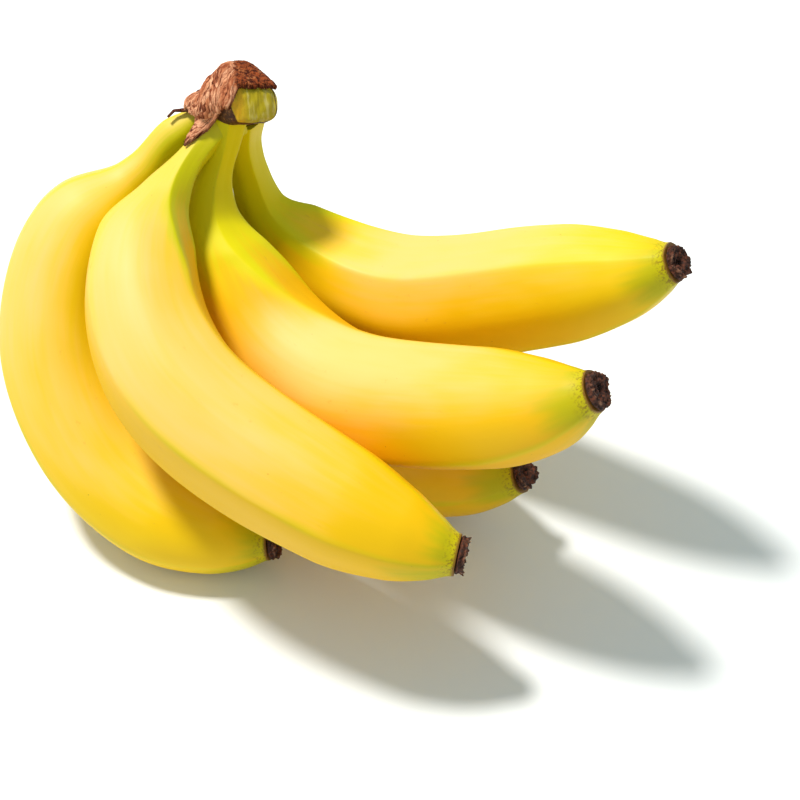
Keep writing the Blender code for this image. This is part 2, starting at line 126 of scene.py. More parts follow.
class Graph:
    """A material's node graph, with a short call for each kind of node."""

    def __init__(self, name: str) -> None:
        """Starts a material with a Principled shader.

        Args:
            name: its name.
        """
        self.material = bpy.data.materials.new(name)
        self.material.use_nodes = True
        self.nodes = self.material.node_tree.nodes
        self.links = self.material.node_tree.links
        self.shader = self.nodes["Principled BSDF"]

    def plug(self, value: Value, socket: Socket) -> None:
        """Feeds a socket.

        Args:
            value: an output to link, or a number, vector or colour to set.
            socket: the input that it goes to.
        """
        if isinstance(value, Socket):
            self.links.new(value, socket)
        else:
            socket.default_value = (*value, 1.0) if socket.type == "RGBA" else value

    def node(self, kind: str, output: Key, inputs: dict[Key, Value], **settings: str) -> Socket:
        """Adds a node.

        Args:
            kind: its type, without the part that all shader nodes share.
            output: the output wanted, by name or number.
            inputs: what its inputs get.
            settings: its own settings.

        Returns:
            That output.
        """
        node = self.nodes.new("ShaderNode" + kind)
        for name, setting in settings.items():
            setattr(node, name, setting)
        for key, value in inputs.items():
            self.plug(value, node.inputs[key])
        return node.outputs[output]

    def number(self, name: str) -> Socket:
        """Reads a number that the piece's points carry."""
        return self.node("Attribute", "Fac", {}, attribute_name=name)

    def vector(self, name: str) -> Socket:
        """Reads a vector that the piece's points carry."""
        return self.node("Attribute", "Vector", {}, attribute_name=name)

    def place(self) -> Socket:
        """Object coordinates."""
        return self.node("TexCoord", "Object", {})

    def scaled(self, vector: Value, scale: Triple) -> Socket:
        """The vector scaled axis by axis."""
        return self.node("Mapping", "Vector", {"Vector": vector, "Scale": scale})

    def math(self, kind: str, first: Value, second: Value) -> Socket:
        """A Math node of that kind on two values."""
        return self.node("Math", 0, {0: first, 1: second}, operation=kind)

    def plus(self, first: Value, second: Value) -> Socket:
        """Sum of two values."""
        return self.math("ADD", first, second)

    def minus(self, first: Value, second: Value) -> Socket:
        """The first value less the second."""
        return self.math("SUBTRACT", first, second)

    def times(self, first: Value, second: Value) -> Socket:
        """Product of two values."""
        return self.math("MULTIPLY", first, second)

    def swing(self, wave: Value, reach: float) -> Socket:
        """Noise moved to swing about zero, times a reach."""
        return self.times(self.minus(wave, 0.5), reach)

    def step(self, value: Value, start: float, full: float) -> Socket:
        """Smooth mask of a value.

        Args:
            value: what the mask reads.
            start: where the mask is 0.
            full: where it is 1, above or below the start.

        Returns:
            The mask, from 0 to 1.
        """
        ends = {"To Min": float(start > full), "To Max": float(start < full)}
        span = {"From Min": min(start, full), "From Max": max(start, full)}
        given = {"Value": value, **span, **ends}
        return self.node("MapRange", "Result", given, interpolation_type="SMOOTHSTEP")

    def noise(self, vector: Value, scale: float, detail: float, roughness: float = 0.5) -> Socket:
        """Noise at a vector, about 0.5."""
        given = {"Vector": vector, "Scale": scale, "Detail": detail, "Roughness": roughness}
        return self.node("TexNoise", "Fac", given)

    def from_spots(self, vector: Value, scale: float) -> Socket:
        """Distance to the nearest of some scattered spots, so many a unit."""
        return self.node("TexVoronoi", "Distance", {"Vector": vector, "Scale": scale})

    def lay(self, under: Value, over: Value, mask: Value, strength: float = 1.0) -> Socket:
        """Lays one colour over another, by a mask from 0 to 1 times a strength."""
        amount = mask if strength == 1.0 else self.times(mask, strength)
        return self.node("Mix", 2, {"Factor": amount, 6: under, 7: over}, data_type="RGBA")

    def bump(self, height: Value, strength: float, depth: float) -> None:
        """Bumps the shader's normal by a height from 0 to 1, times a depth in metres."""
        given = {"Height": height, "Strength": strength, "Distance": depth}
        self.plug(self.node("Bump", "Normal", given), self.shader.inputs["Normal"])

    def finish(self, colour: Value, roughness: float, shine: float) -> Material:
        """Sets the shader.

        Args:
            colour: the base colour.
            roughness: its roughness.
            shine: its specular level.

        Returns:
            The finished material.
        """
        self.plug(colour, self.shader.inputs["Base Color"])
        self.shader.inputs["Roughness"].default_value = roughness
        self.shader.inputs["Specular IOR Level"].default_value = shine
        return self.material


@dataclass(frozen=True)
class PeelFinish:
    """Waxy yellow peel, green at the stalk and at the flower end, with faint lengthwise streaks.

    A span says where a mask starts and where it is full. The last four values are millimetres at
    the flower end, and neck_span is in shares of the length past the green's reach.
    """

    deep: Colour = (0.80, 0.470, 0.001)
    lemon: Colour = (0.87, 0.610, 0.003)
    golden: Colour = (0.82, 0.425, 0.002)
    # Painted light: the next colour is the peel's side lit by the key lamp.
    pale: Colour = (0.90, 0.525, 0.155)
    stalk_green: Colour = (0.55, 0.53, 0.001)
    stalk_fresh: Colour = (0.68, 0.61, 0.001)
    # Painted light: the next two colours are the stalk's side lit by the key lamp.
    painted_lit_stalk: Colour = (0.74, 0.53, 0.070)
    painted_lit_fresh: Colour = (0.80, 0.64, 0.030)
    end_green: Colour = (0.42, 0.41, 0.001)
    speck: Colour = (0.16, 0.050, 0.010)
    scar: Colour = (0.62, 0.30, 0.035)
    # Where the painted light on the lit side starts and where it is full.
    painted_light_span: Pair = (0.37, 1.12)
    fresh_span: Pair = (0.22, 0.24)
    neck_span: Pair = (0.07, -0.09)
    end_span: Pair = (17.0, 2.0)
    end_wander: float = 30.0
    dried_span: Pair = (6.5, 1.6)
    burnt_span: Pair = (2.4, 1.5)

    def build(self) -> Material:
        """Sets up the nodes.

        Returns:
            The material, which reads skin, share, ridge, green, gold, from_end and the painted
            sunlight on the lit side.
        """
        g = Graph("peel")
        skin = g.vector("skin")
        streaks = g.noise(g.scaled(skin, (8.0, 8.0, 0.40)), 1.0, 5.0, 0.65)
        clouds = g.noise(g.scaled(skin, (1.0, 1.0, 0.35)), 1.6, 2.0)
        # Painted light: the side facing the key lamp is laid paler and bluer, as a lit side looks,
        # broken up by streaks and clouds.
        painted_light_mask = g.plus(g.number("painted_sunlight"), g.swing(streaks, 0.30))
        painted_light_mask = g.step(g.plus(painted_light_mask, g.swing(clouds, -0.55)), *self.painted_light_span)
        colour = g.lay(self.lemon, self.golden, g.number("gold"))
        colour = g.lay(colour, self.deep, g.step(clouds, 0.35, 0.75), 0.5)
        colour = g.lay(colour, self.pale, painted_light_mask)
        ridge, reach, from_end = g.number("ridge"), g.number("green"), g.number("from_end")
        past = g.plus(g.minus(g.number("share"), reach), g.swing(streaks, 0.10))
        past = g.minus(past, g.times(g.step(ridge, 0.45, 1.0), 0.11))
        fresh = g.step(reach, *self.fresh_span)
        plain = g.lay(self.stalk_green, self.stalk_fresh, fresh)
        # The stalk greens get the same painted light on their lit side.
        green = g.lay(plain, g.lay(self.painted_lit_stalk, self.painted_lit_fresh, fresh), painted_light_mask)
        colour = g.lay(colour, green, g.step(past, *self.neck_span), 0.92)
        near_end = g.step(g.plus(from_end, g.swing(clouds, self.end_wander)), *self.end_span)
        colour = g.lay(colour, self.end_green, near_end, 0.80)
        edges = g.times(g.step(ridge, 0.80, 1.0), g.step(clouds, 0.30, 0.60))
        colour = g.lay(colour, self.stalk_green, edges, 0.42)
        flecks = g.noise(g.scaled(skin, (9.0, 9.0, 24.0)), 1.0, 4.0, 0.6)
        dried = g.times(g.step(flecks, 0.50, 0.60), g.step(from_end, *self.dried_span))
        colour = g.lay(colour, self.speck, dried, 0.75)
        burnt = g.step(g.plus(from_end, g.swing(flecks, 3.0)), *self.burnt_span)
        colour = g.lay(colour, self.speck, burnt, 0.9)
        near = g.step(g.from_spots(g.scaled(skin, (1.0, 1.0, 0.7)), 7.0), 0.075, 0.03)
        rare = g.step(g.noise(skin, 3.1, 0.0), 0.60, 0.66)
        colour = g.lay(colour, self.speck, g.times(near, rare), 0.6)
        scars = g.step(g.noise(g.scaled(skin, (2.5, 2.5, 0.8)), 2.2, 4.0, 0.7), 0.66, 0.76)
        colour = g.lay(colour, self.scar, scars, 0.45)
        g.bump(streaks, 0.08, 0.0005)
        return g.finish(colour, roughness=0.50, shine=0.18)


@dataclass(frozen=True)
class FlowerEndFinish:
    """Dried flower remains: nearly black, and red-brown on the ragged rim, whose raised crests are
    laid lighter partly as a painted highlight.
    """

    dark: Colour = (0.022, 0.007, 0.004)
    brown: Colour = (0.15, 0.038, 0.013)
    tan: Colour = (0.38, 0.20, 0.11)

    def build(self) -> Material:
        """Sets up the nodes.

        Returns:
            The material, which reads the attribute crest.
        """
        g = Graph("dried_flower")
        grain = g.noise(g.place(), 900.0, 6.0, 0.7)
        colour = g.lay(self.dark, self.brown, g.step(grain, 0.38, 0.68))
        # Tan on the raised crests: partly the dried rim's own colour, partly a painted highlight.
        high = g.times(g.step(g.number("crest"), 0.45, 1.0), g.step(grain, 0.42, 0.66))
        colour = g.lay(colour, self.tan, high, 0.75)
        g.bump(grain, 0.7, 0.0004)
        return g.finish(colour, roughness=0.72, shine=0.35)


@dataclass(frozen=True)
class CrownFinish:
    """Crown flesh: green stalk bases, a streaked olive cut face, and dried tissue round it and on
    its underside, dark there partly as painted shade.
    """

    stalk_green: Colour = (0.58, 0.45, 0.003)
    face_olive: Colour = (0.42, 0.32, 0.004)
    face_pale: Colour = (0.54, 0.45, 0.120)
    amber: Colour = (0.70, 0.38, 0.008)
    rim: Colour = (0.075, 0.022, 0.008)
    tan: Colour = (0.30, 0.13, 0.035)

    def build(self) -> Material:
        """Sets up the nodes.

        Returns:
            The material, which reads the attributes face, rim, amber and grain.
        """
        g = Graph("crown_flesh")
        grain = g.vector("grain")
        fibres = g.noise(g.scaled(grain, (620.0, 110.0, 620.0)), 1.0, 5.0, 0.6)
        spots = g.noise(g.scaled(grain, (330.0, 150.0, 330.0)), 1.0, 3.0, 0.55)
        grit = g.noise(grain, 1500.0, 5.0, 0.7)
        face = g.lay(self.face_olive, self.face_pale, g.step(fibres, 0.50, 0.66), 0.75)
        face = g.lay(face, self.face_pale, g.step(spots, 0.54, 0.66), 0.6)
        face = g.lay(face, self.amber, g.times(g.number("amber"), g.step(spots, 0.70, 0.40)))
        base = g.lay(self.stalk_green, self.face_pale, g.step(fibres, 0.4, 0.8), 0.25)
        colour = g.lay(base, face, g.number("face"))
        # The dark dried colour covers the rim and the underside, where it is partly painted shade.
        dried = g.lay(self.rim, self.tan, g.step(grit, 0.52, 0.66))
        ragged = g.plus(g.number("rim"), g.swing(spots, 1.1))
        colour = g.lay(colour, dried, g.step(ragged, 0.38, 0.62))
        g.bump(g.plus(fibres, grit), 0.35, 0.0004)
        return g.finish(colour, roughness=0.55, shine=0.30)


@dataclass(frozen=True)
class HuskFinish:
    """Dry husk skin: pinkish tan fibres, near black in the furrows, red-brown where coarse."""

    tan: Colour = (0.56, 0.190, 0.080)
    pink: Colour = (0.88, 0.430, 0.235)
    rust: Colour = (0.27, 0.055, 0.018)
    dark: Colour = (0.060, 0.010, 0.004)
    coarse_brown: Colour = (0.32, 0.068, 0.016)
    amber: Colour = (0.52, 0.210, 0.075)

    def build(self) -> Material:
        """Sets up the nodes.

        Returns:
            The material, which reads fibre (a vector), coarse, border and flap.
        """
        g = Graph("husk_skin")
        fibre = g.vector("fibre")
        bands = g.noise(g.scaled(fibre, (0.50, 0.10, 0.0)), 1.0, 2.0)
        lines = g.noise(g.scaled(fibre, (1.5, 0.17, 0.0)), 1.0, 5.0, 0.62)
        hairs = g.noise(g.scaled(fibre, (4.0, 0.45, 0.0)), 1.0, 4.0, 0.6)
        grit = g.noise(g.place(), 900.0, 5.0, 0.72)
        lumps = g.noise(g.place(), 330.0, 3.0, 0.6)
        smooth = g.lay(self.tan, self.pink, g.step(bands, 0.38, 0.60))
        # Painted light: the flap faces away from the key lamp and is laid lighter pink to stand for
        # the light on it.
        smooth = g.lay(smooth, self.pink, g.number("flap"), 0.60)
        smooth = g.lay(smooth, self.rust, g.step(hairs, 0.50, 0.60), 0.55)
        smooth = g.lay(smooth, self.rust, g.step(lines, 0.53, 0.42), 0.90)
        smooth = g.lay(smooth, self.dark, g.step(lines, 0.43, 0.35), 0.90)
        raised = g.times(g.step(lumps, 0.50, 0.66), g.step(grit, 0.48, 0.58))
        rough = g.lay(self.dark, self.coarse_brown, g.step(grit, 0.42, 0.54))
        rough = g.lay(rough, self.amber, raised)
        colour = g.lay(smooth, rough, g.number("coarse"))
        colour = g.lay(colour, self.dark, g.number("border"), 0.75)
        g.bump(g.plus(lines, g.plus(hairs, grit)), 0.9, 0.0007)
        return g.finish(colour, roughness=0.80, shine=0.14)


@dataclass(frozen=True)
class FloorFinish:
    """Plain pale floor."""

    colour: Colour = (0.86, 0.87, 0.86)

    def build(self) -> Material:
        """Returns the material."""
        return Graph("floor").finish(self.colour, roughness=0.75, shine=0.20)


# ---- Meshes ----


def finished(name: str, shape: Shape, finish: Material, sharp: float = 60.0) -> Piece:
    """Object made from a bmesh, at the origin, shaded smooth.

    Args:
        name: name of the object and its mesh.
        shape: the bmesh, which is freed.
        finish: its material.
        sharp: edges turned by more than this stay sharp.

    Returns:
        The object, linked to the scene.
    """
    mesh = bpy.data.meshes.new(name)
    shape.to_mesh(mesh)
    shape.free()
    mesh.shade_smooth()
    mesh.set_sharp_from_angle(angle=radians(sharp))
    mesh.materials.append(finish)
    made = bpy.data.objects.new(name, mesh)
    bpy.context.scene.collection.objects.link(made)
    return made


def turn_outward(shape: Shape) -> None:
    """Makes all normals point outward.

    Args:
        shape: a closed bmesh.
    """
    bmesh.ops.recalc_face_normals(shape, faces=shape.faces)
    if shape.calc_volume(signed=True) < 0:
        bmesh.ops.reverse_faces(shape, faces=shape.faces)
    shape.normal_update()


def hand_over(piece: Piece, node: str) -> None:
    """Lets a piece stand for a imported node.

    Args:
        piece: the finished piece.
        node: the node.
    """
    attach(piece, "root")
    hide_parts(node)
    LOG.info("%s: %d faces", piece.name, len(piece.data.polygons))


def tube(sides: int, spans: int) -> Shape:
    """Upright closed tube of radius 1 from z = 0 to z = 1, in spans equal rings.

    Args:
        sides: faces round it.
        spans: faces along it.

    Returns:
        The bmesh. A mapping of its points bends it to a real shape.
    """
    shape = bmesh.new()
    bmesh.ops.create_cone(
        shape, cap_ends=True, segments=sides, radius1=1, radius2=1, depth=1,
        matrix=Matrix.Translation((0, 0, 0.5)),
    )
    upright = [edge for edge in shape.edges if abs(edge.verts[0].co.z - edge.verts[1].co.z) > 0.5]
    bmesh.ops.subdivide_edges(shape, edges=upright, cuts=spans - 1)
    return shape


def new_numbers(shape: Shape, *names: str) -> list[Layer]:
    """New attributes of the bmesh's points, one number each."""
    return [shape.verts.layers.float.new(name) for name in names]


def new_vector(shape: Shape, name: str) -> Layer:
    """New vector attribute of the bmesh's points."""
    return shape.verts.layers.float_vector.new(name)


@dataclass(frozen=True)
class Fruit:
    """One fruit: where its stalk starts, which way it heads, and how it bends on its way."""

    name: str
    root: Triple
    heading: float
    dip: float
    roll: float
    shoulder_bend: float
    body_bend: float
    end_bend: float
    sway: float
    length: float
    girth: float
    stalk_share: float
    ridges: tuple[float, ...] = (36.0, 108.0, 180.0, 252.0, 324.0)
    twist: Pair = (0.0, 60.0)
    root_shift: float = 0.0
    tip_lean: float = 0.0
    neck_girth: float = 1.0
    neck_end: float = 1.0
    neck_bow: Triple = (0.0, 0.0, 0.0)
    neck_set: Triple = (0.0, 0.0, 0.0)
    neck_fill: float = 0.4
    neck_flare: float = 0.9
    ripeness: Ripeness = Ripeness.TURNING
    crispness: float = 1.0
    gold: float = 0.9

    STALK_RADII = ((0.0, 4.8), (0.5, 3.8), (1.0, 6.8))
    SHOULDER_RADII = ((0.08, 13.4), (0.18, 16.8))
    BODY_RADII = (
        (0.50, 18.2), (0.66, 17.8), (0.80, 16.8), (0.90, 13.0), (0.96, 8.5), (0.985, 6.1),
        (1.0, 5.4),
    )
    TIP_LENGTH = 1.4
    STEPS = 240
    SHOULDER_LEAD = 0.06
    BEND_SPREAD = 0.16
    END_BEND_FROM = 0.5
    ROOT_REACH = 32.0
    BOW_SPAN = (9.0, 25.0, 27.0, 50.0)
    SET_REACH = 46.0
    FLARE_REACH = 10.0
    FILL_SPAN = (42.0, 18.0)
    LEAN_REACH = 16.0
    RIDGE_HEIGHT = 0.10
    RIDGE_SPREAD = 38.0
    RIDGE_FADE_FROM = 0.6
    RIDGE_END = 0.45
    RIDGE_ROUND = 0.09
    RIDGE_POWER = 2.2
    RIDGE_LEVEL = 0.30

    def radius(self, distance: float) -> float:
        """Mean radius, with what the living neck adds to it.

        Args:
            distance: distance from the root.

        Returns:
            The radius there.
        """
        stalk = self.stalk_share * self.neck_end
        start, middle, end = self.STALK_RADII
        knots = [start, (stalk * middle[0], middle[1] * self.neck_girth), (stalk * end[0], end[1])]
        knots += [(stalk + at, radius) for at, radius in self.SHOULDER_RADII]
        knots += self.BODY_RADII
        flare = self.neck_flare * fade(distance, self.FLARE_REACH, 0)
        added = self.neck_fill * fade(distance, *self.FILL_SPAN) + flare
        return blend_knots(knots, distance / self.length) * self.girth + added

    def axes(self) -> tuple[Vector, Vector, Vector]:
        """Axes at the stalk.

        Returns:
            Unit vectors along it, towards the inside of the bend, and across it.
        """
        heading, dip, roll = radians(self.heading), radians(self.dip), radians(self.roll)
        along = Vector((cos(dip) * cos(heading), cos(dip) * sin(heading), sin(dip)))
        upward = Vector((-sin(dip) * cos(heading), -sin(dip) * sin(heading), cos(dip)))
        level = Vector((-sin(heading), cos(heading), 0.0))
        inward = upward * cos(roll) + level * sin(roll)
        return along, inward, along.cross(inward)

    def direction(self, share: float) -> Vector:
        """Direction of the centre line.

        Args:
            share: share of the length.

        Returns:
            The unit vector there.
        """
        along, inward, across = self.axes()
        half = self.stalk_share / 2
        bend_from = self.stalk_share - self.SHOULDER_LEAD
        turn = radians(
            self.shoulder_bend * fade(share, bend_from, bend_from + self.BEND_SPREAD)
            + self.body_bend * min(max((share - half) / (1 - half), 0.0), 1.0)
            + self.end_bend * fade(share, self.END_BEND_FROM, 1)
        )
        drift = radians(self.sway) * share
        return (along * cos(turn) + inward * sin(turn) + across * drift).normalized()

    def line(self) -> tuple[list[Vector], list[Vector]]:
        """Centre line.

        Returns:
            Its points and its directions, STEPS + 1 of each.
        """
        directions = [self.direction(k / self.STEPS) for k in range(self.STEPS + 1)]
        points = [Vector(self.root)]
        for before, after in zip(directions, directions[1:]):
            points.append(points[-1] + (before + after) * (self.length / self.STEPS / 2))
        begins, full_from, full_to, gone = self.BOW_SPAN
        for k, point in enumerate(points):
            distance = self.length * k / self.STEPS
            bow = fade(distance, begins, full_from) * fade(distance, gone, full_to)
            point += Vector(self.neck_bow) * bow
            point += Vector(self.neck_set) * fade(distance, self.SET_REACH, 0)
            point.x += self.root_shift * fade(distance, self.ROOT_REACH, 0)
        return points, directions

    def station(self, line: tuple[list[Vector], list[Vector]], distance: float) -> Station:
        """Where the fruit is at a distance along its centre line.

        Args:
            line: what line() returned.
            distance: distance from the root.

        Returns:
            Centre, and unit vectors along, inward and across.
        """
        points, directions = line
        place = min(max(distance / self.length * self.STEPS, 0.0), self.STEPS - 1e-6)
        k = int(place)
        centre = points[k].lerp(points[k + 1], place - k)
        along = directions[k].lerp(directions[k + 1], place - k)
        along.x += self.tip_lean * fade(distance, self.length - self.LEAN_REACH, self.length)
        along.normalize()
        across = self.axes()[2]
        across = (across - along * across.dot(along)).normalized()
        return centre, along, across.cross(along), across

    def ridge(self, angle: float, share: float) -> Pair:
        """The five-ridged section.

        Args:
            angle: degrees from the inner side of the bend, before the winding.
            share: share of the fruit's length.

        Returns:
            Factor on the radius, and 1 on a ridge to 0 well away from one.
        """
        away = min(abs((angle - ridge + 180) % 360 - 180) for ridge in self.ridges)
        away = min(away / self.RIDGE_SPREAD, 1.0)
        blunt = self.RIDGE_ROUND / self.crispness
        soft = (away * away + blunt ** 2) ** 0.5 - blunt * (1 - away)
        height = self.RIDGE_HEIGHT * self.crispness
        height *= 1 - (1 - self.RIDGE_END) * fade(share, self.RIDGE_FADE_FROM, 1)
        lip = (1 - min(soft, 1.0)) ** self.RIDGE_POWER - self.RIDGE_LEVEL
        return 1 + height * lip, 1 - away


FRUITS = (
    Fruit("finger_1", (-37, 55, 108), -164, -32, 131, -8, 160, -3, -1, 183, 0.99, 0.155,
          (8, 140, 200, 255, 310), neck_girth=1.36, neck_bow=(2.3, 0, -2.9),
          neck_set=(0, -1.0, -1.3), neck_fill=0.2, neck_flare=-1.4, ripeness=Ripeness.TURNED,
          crispness=0.6, gold=0.3),
    Fruit("finger_2", (-30, 54, 107), -132, -21, 108, -2, 175, -56, 2, 185, 1.01, 0.165,
          (38, 137, 202, 268, 333), (66, 60), neck_bow=(0.7, 0, 0), neck_set=(1.8, -2.0, 2.0),
          neck_fill=0.2, neck_flare=1.8, crispness=1.2, gold=0.7),
    Fruit("finger_3", (-27, 45, 113), -138, -72, 100, 15, 187, -57, 5, 195, 1.00, 0.190,
          (-2, 128, 190, 243, 297), (50, 100), 2.2, 0.45, neck_girth=0.97, neck_end=0.75,
          neck_bow=(-1.0, 0, 0), neck_set=(-3.5, 4.7, -2.0), neck_fill=1.1, neck_flare=-0.3,
          ripeness=Ripeness.GREEN_NECKED, crispness=1.15),
    Fruit("finger_4", (-21, 54, 108), 151, -82, 182, 32, 185, -71, 2, 192, 0.95, 0.180,
          (33, 132, 197, 263, 328), (8, 60), -1.5, 0.4, neck_girth=1.18, neck_bow=(1.0, 0, 0.3),
          neck_set=(-2.6, 1.4, -1.2), neck_fill=1.0, ripeness=Ripeness.GREEN_NECKED,
          crispness=1.4, gold=0.35),
    Fruit("finger_5", (-30, 60, 105), -171, -65, 134, -12, 206, -51, -6, 195, 0.99, 0.140),
)


@dataclass(frozen=True)
class FruitBody:
    """A fruit's stalk and body, up to the seat of its dried flower end."""

    fruit: Fruit
    finish: Material
    sides: int = 150
    spans: int = 190
    socket_start: float = 0.4
    ring_crowding: float = 0.07
    ridge_crowding: float = 0.7
    unevenness: float = 0.25
    skin_radius: float = 18.0
    # Direction towards the key lamp for the painted light; the two values below weaken it towards
    # the flower end and on a green neck.
    painted_light_from: Triple = (-0.40, -0.12, 0.91)
    end_light_fade: float = 0.45
    neck_light_fade: float = 0.55

    def distance(self, share: float) -> float:
        """Distance of a ring along the fruit, with rings closer on the stalk and flower end."""
        reach = self.fruit.length - self.fruit.TIP_LENGTH - self.socket_start
        return self.socket_start + reach * (share - self.ring_crowding * sin(2 * pi * share))

    def crowded(self, share: float) -> float:
        """Angle of a point round the fruit, with points closer near the ridges.

        Args:
            share: share of the way round.

        Returns:
            Degrees from the inner side of the bend.
        """
        ridges = self.fruit.ridges
        place = share * len(ridges)
        k = min(int(place), len(ridges) - 1)
        here, ahead = ridges[k], (*ridges[1:], ridges[0] + 360)[k]
        between = place - k
        crowding = self.ridge_crowding * sin(2 * pi * between) / (2 * pi)
        return here + (ahead - here) * (between - crowding)

    def painted_sunlight(self, normal: Vector, share: float) -> float:
        """Painted light: paler skin on the side facing the key lamp, weaker towards the end and on
        a green neck.

        Args:
            normal: the skin's normal.
            share: share of the fruit's length.

        Returns:
            How strong the painted light is, from 0 to 1.
        """
        light_fade = self.end_light_fade * fade(share, 0.60, 1.0)
        if self.fruit.ripeness is Ripeness.GREEN_NECKED:
            light_fade = max(light_fade, self.neck_light_fade * fade(share, 0.50, 0.24))
        return max(normal.dot(Vector(self.painted_light_from)), 0.0) * (1 - light_fade)

    def build(self) -> None:
        """Makes the body and hands it over for its solid."""
        fruit, line = self.fruit, self.fruit.line()
        shape = tube(self.sides, self.spans)
        skin = new_vector(shape, "skin")
        along, ridge, from_end, green, gold, painted_sunlight = new_numbers(
            shape, "share", "ridge", "from_end", "green", "gold", "painted_sunlight"
        )
        distances = [self.distance(k / self.spans) for k in range(self.spans + 1)]
        rings = [(at, fruit.radius(at), fruit.station(line, at)) for at in distances]
        offset = Vector((fruit.length, fruit.root[2], 0.0))
        for vertex in shape.verts:
            distance, radius, (centre, _, inward, across) = rings[round(vertex.co.z * self.spans)]
            share = distance / fruit.length
            angle = self.crowded(atan2(vertex.co.y, vertex.co.x) / (2 * pi) % 1.0)
            factor, on_ridge = fruit.ridge(angle, share)
            turn = radians(angle + fruit.twist[0] * fade(distance, fruit.twist[1], 0))
            around = Vector((cos(turn), sin(turn), distance / self.skin_radius))
            wave = noise.noise(Vector((around.x, around.y, around.z * 0.8)) * 1.1 + offset)
            reach = radius * factor + self.unevenness * wave * min(share * 6, 1.0)
            vertex.co = (centre + (inward * cos(turn) + across * sin(turn)) * reach) * MM
            vertex.co.z = max(vertex.co.z, 0.0)
            vertex[skin] = around
            vertex[along] = share
            vertex[ridge] = on_ridge
            vertex[from_end] = fruit.length - distance
            vertex[green] = fruit.ripeness.value
            vertex[gold] = fruit.gold
        turn_outward(shape)
        # Painted light from each point's normal towards the key lamp.
        for vertex in shape.verts:
            vertex[painted_sunlight] = self.painted_sunlight(vertex.normal, vertex[along])
        piece = finished(fruit.name + "_peel", shape, self.finish)
        hand_over(piece, fruit.name)


@dataclass(frozen=True)
class FlowerEnd:
    """The dried flower end of a fruit: a low wrinkled stub with a ragged rim and a sunken scar.

    OUTLINE goes from its foot over the rim into the scar, as (rise, radius).
    """

    fruit: Fruit
    number: int
    finish: Material
    sides: int = 96
    spans: int = 56
    gap: float = 0.1
    rim_at: float = 4.2
    rim_width: float = 1.6

    OUTLINE = (
        (0.0, 4.0), (0.0, 4.8), (0.5, 5.2), (1.1, 4.8), (1.7, 5.0), (2.1, 4.4), (1.6, 3.5),
        (1.9, 2.5), (1.3, 1.8), (0.6, 1.2), (0.4, 0.3),
    )

    def build(self) -> None:
        """Makes the stub and hands it over for its solid."""
        fruit, number = self.fruit, self.number
        seat = fruit.length - fruit.TIP_LENGTH + self.gap
        centre, along, inward, across = fruit.station(fruit.line(), seat)
        shape = tube(self.sides, self.spans)
        (crest,) = new_numbers(shape, "crest")
        rises, radii = (list(enumerate(column)) for column in zip(*self.OUTLINE))
        for vertex in shape.verts:
            at = vertex.co.z * (len(self.OUTLINE) - 1)
            turn = atan2(vertex.co.y, vertex.co.x)
            around = Vector((cos(turn), sin(turn), number * 3.7 + at * 0.12))
            folds = noise.noise(around * 3.2)
            fine = ripple(around.x * 7, around.y * 7, at * 0.9 + number)
            slump = ripple(cos(turn) * 0.8, sin(turn) * 0.8, number * 5.3)
            on_rim = exp(-((at - self.rim_at) / self.rim_width) ** 2)
            radius = blend_knots(radii, at) * fruit.girth
            radius *= 1 + 0.08 * folds + 0.05 * fine + 0.16 * slump * min(at / 2, 1.0)
            rise = blend_knots(rises, at) + on_rim * (0.6 * folds + 0.4 * fine)
            rise += (1.5 * slump + 0.3 * fine) * min(at / 3, 1.0)
            outward = inward * cos(turn) + across * sin(turn)
            vertex.co = (centre + along * max(rise, 0.0) + outward * radius) * MM
            vertex[crest] = on_rim * 0.7 + fine * 0.5
        turn_outward(shape)
        piece = finished(f"tip_{number}_flower", shape, self.finish)
        hand_over(piece, f"tip_{number}")


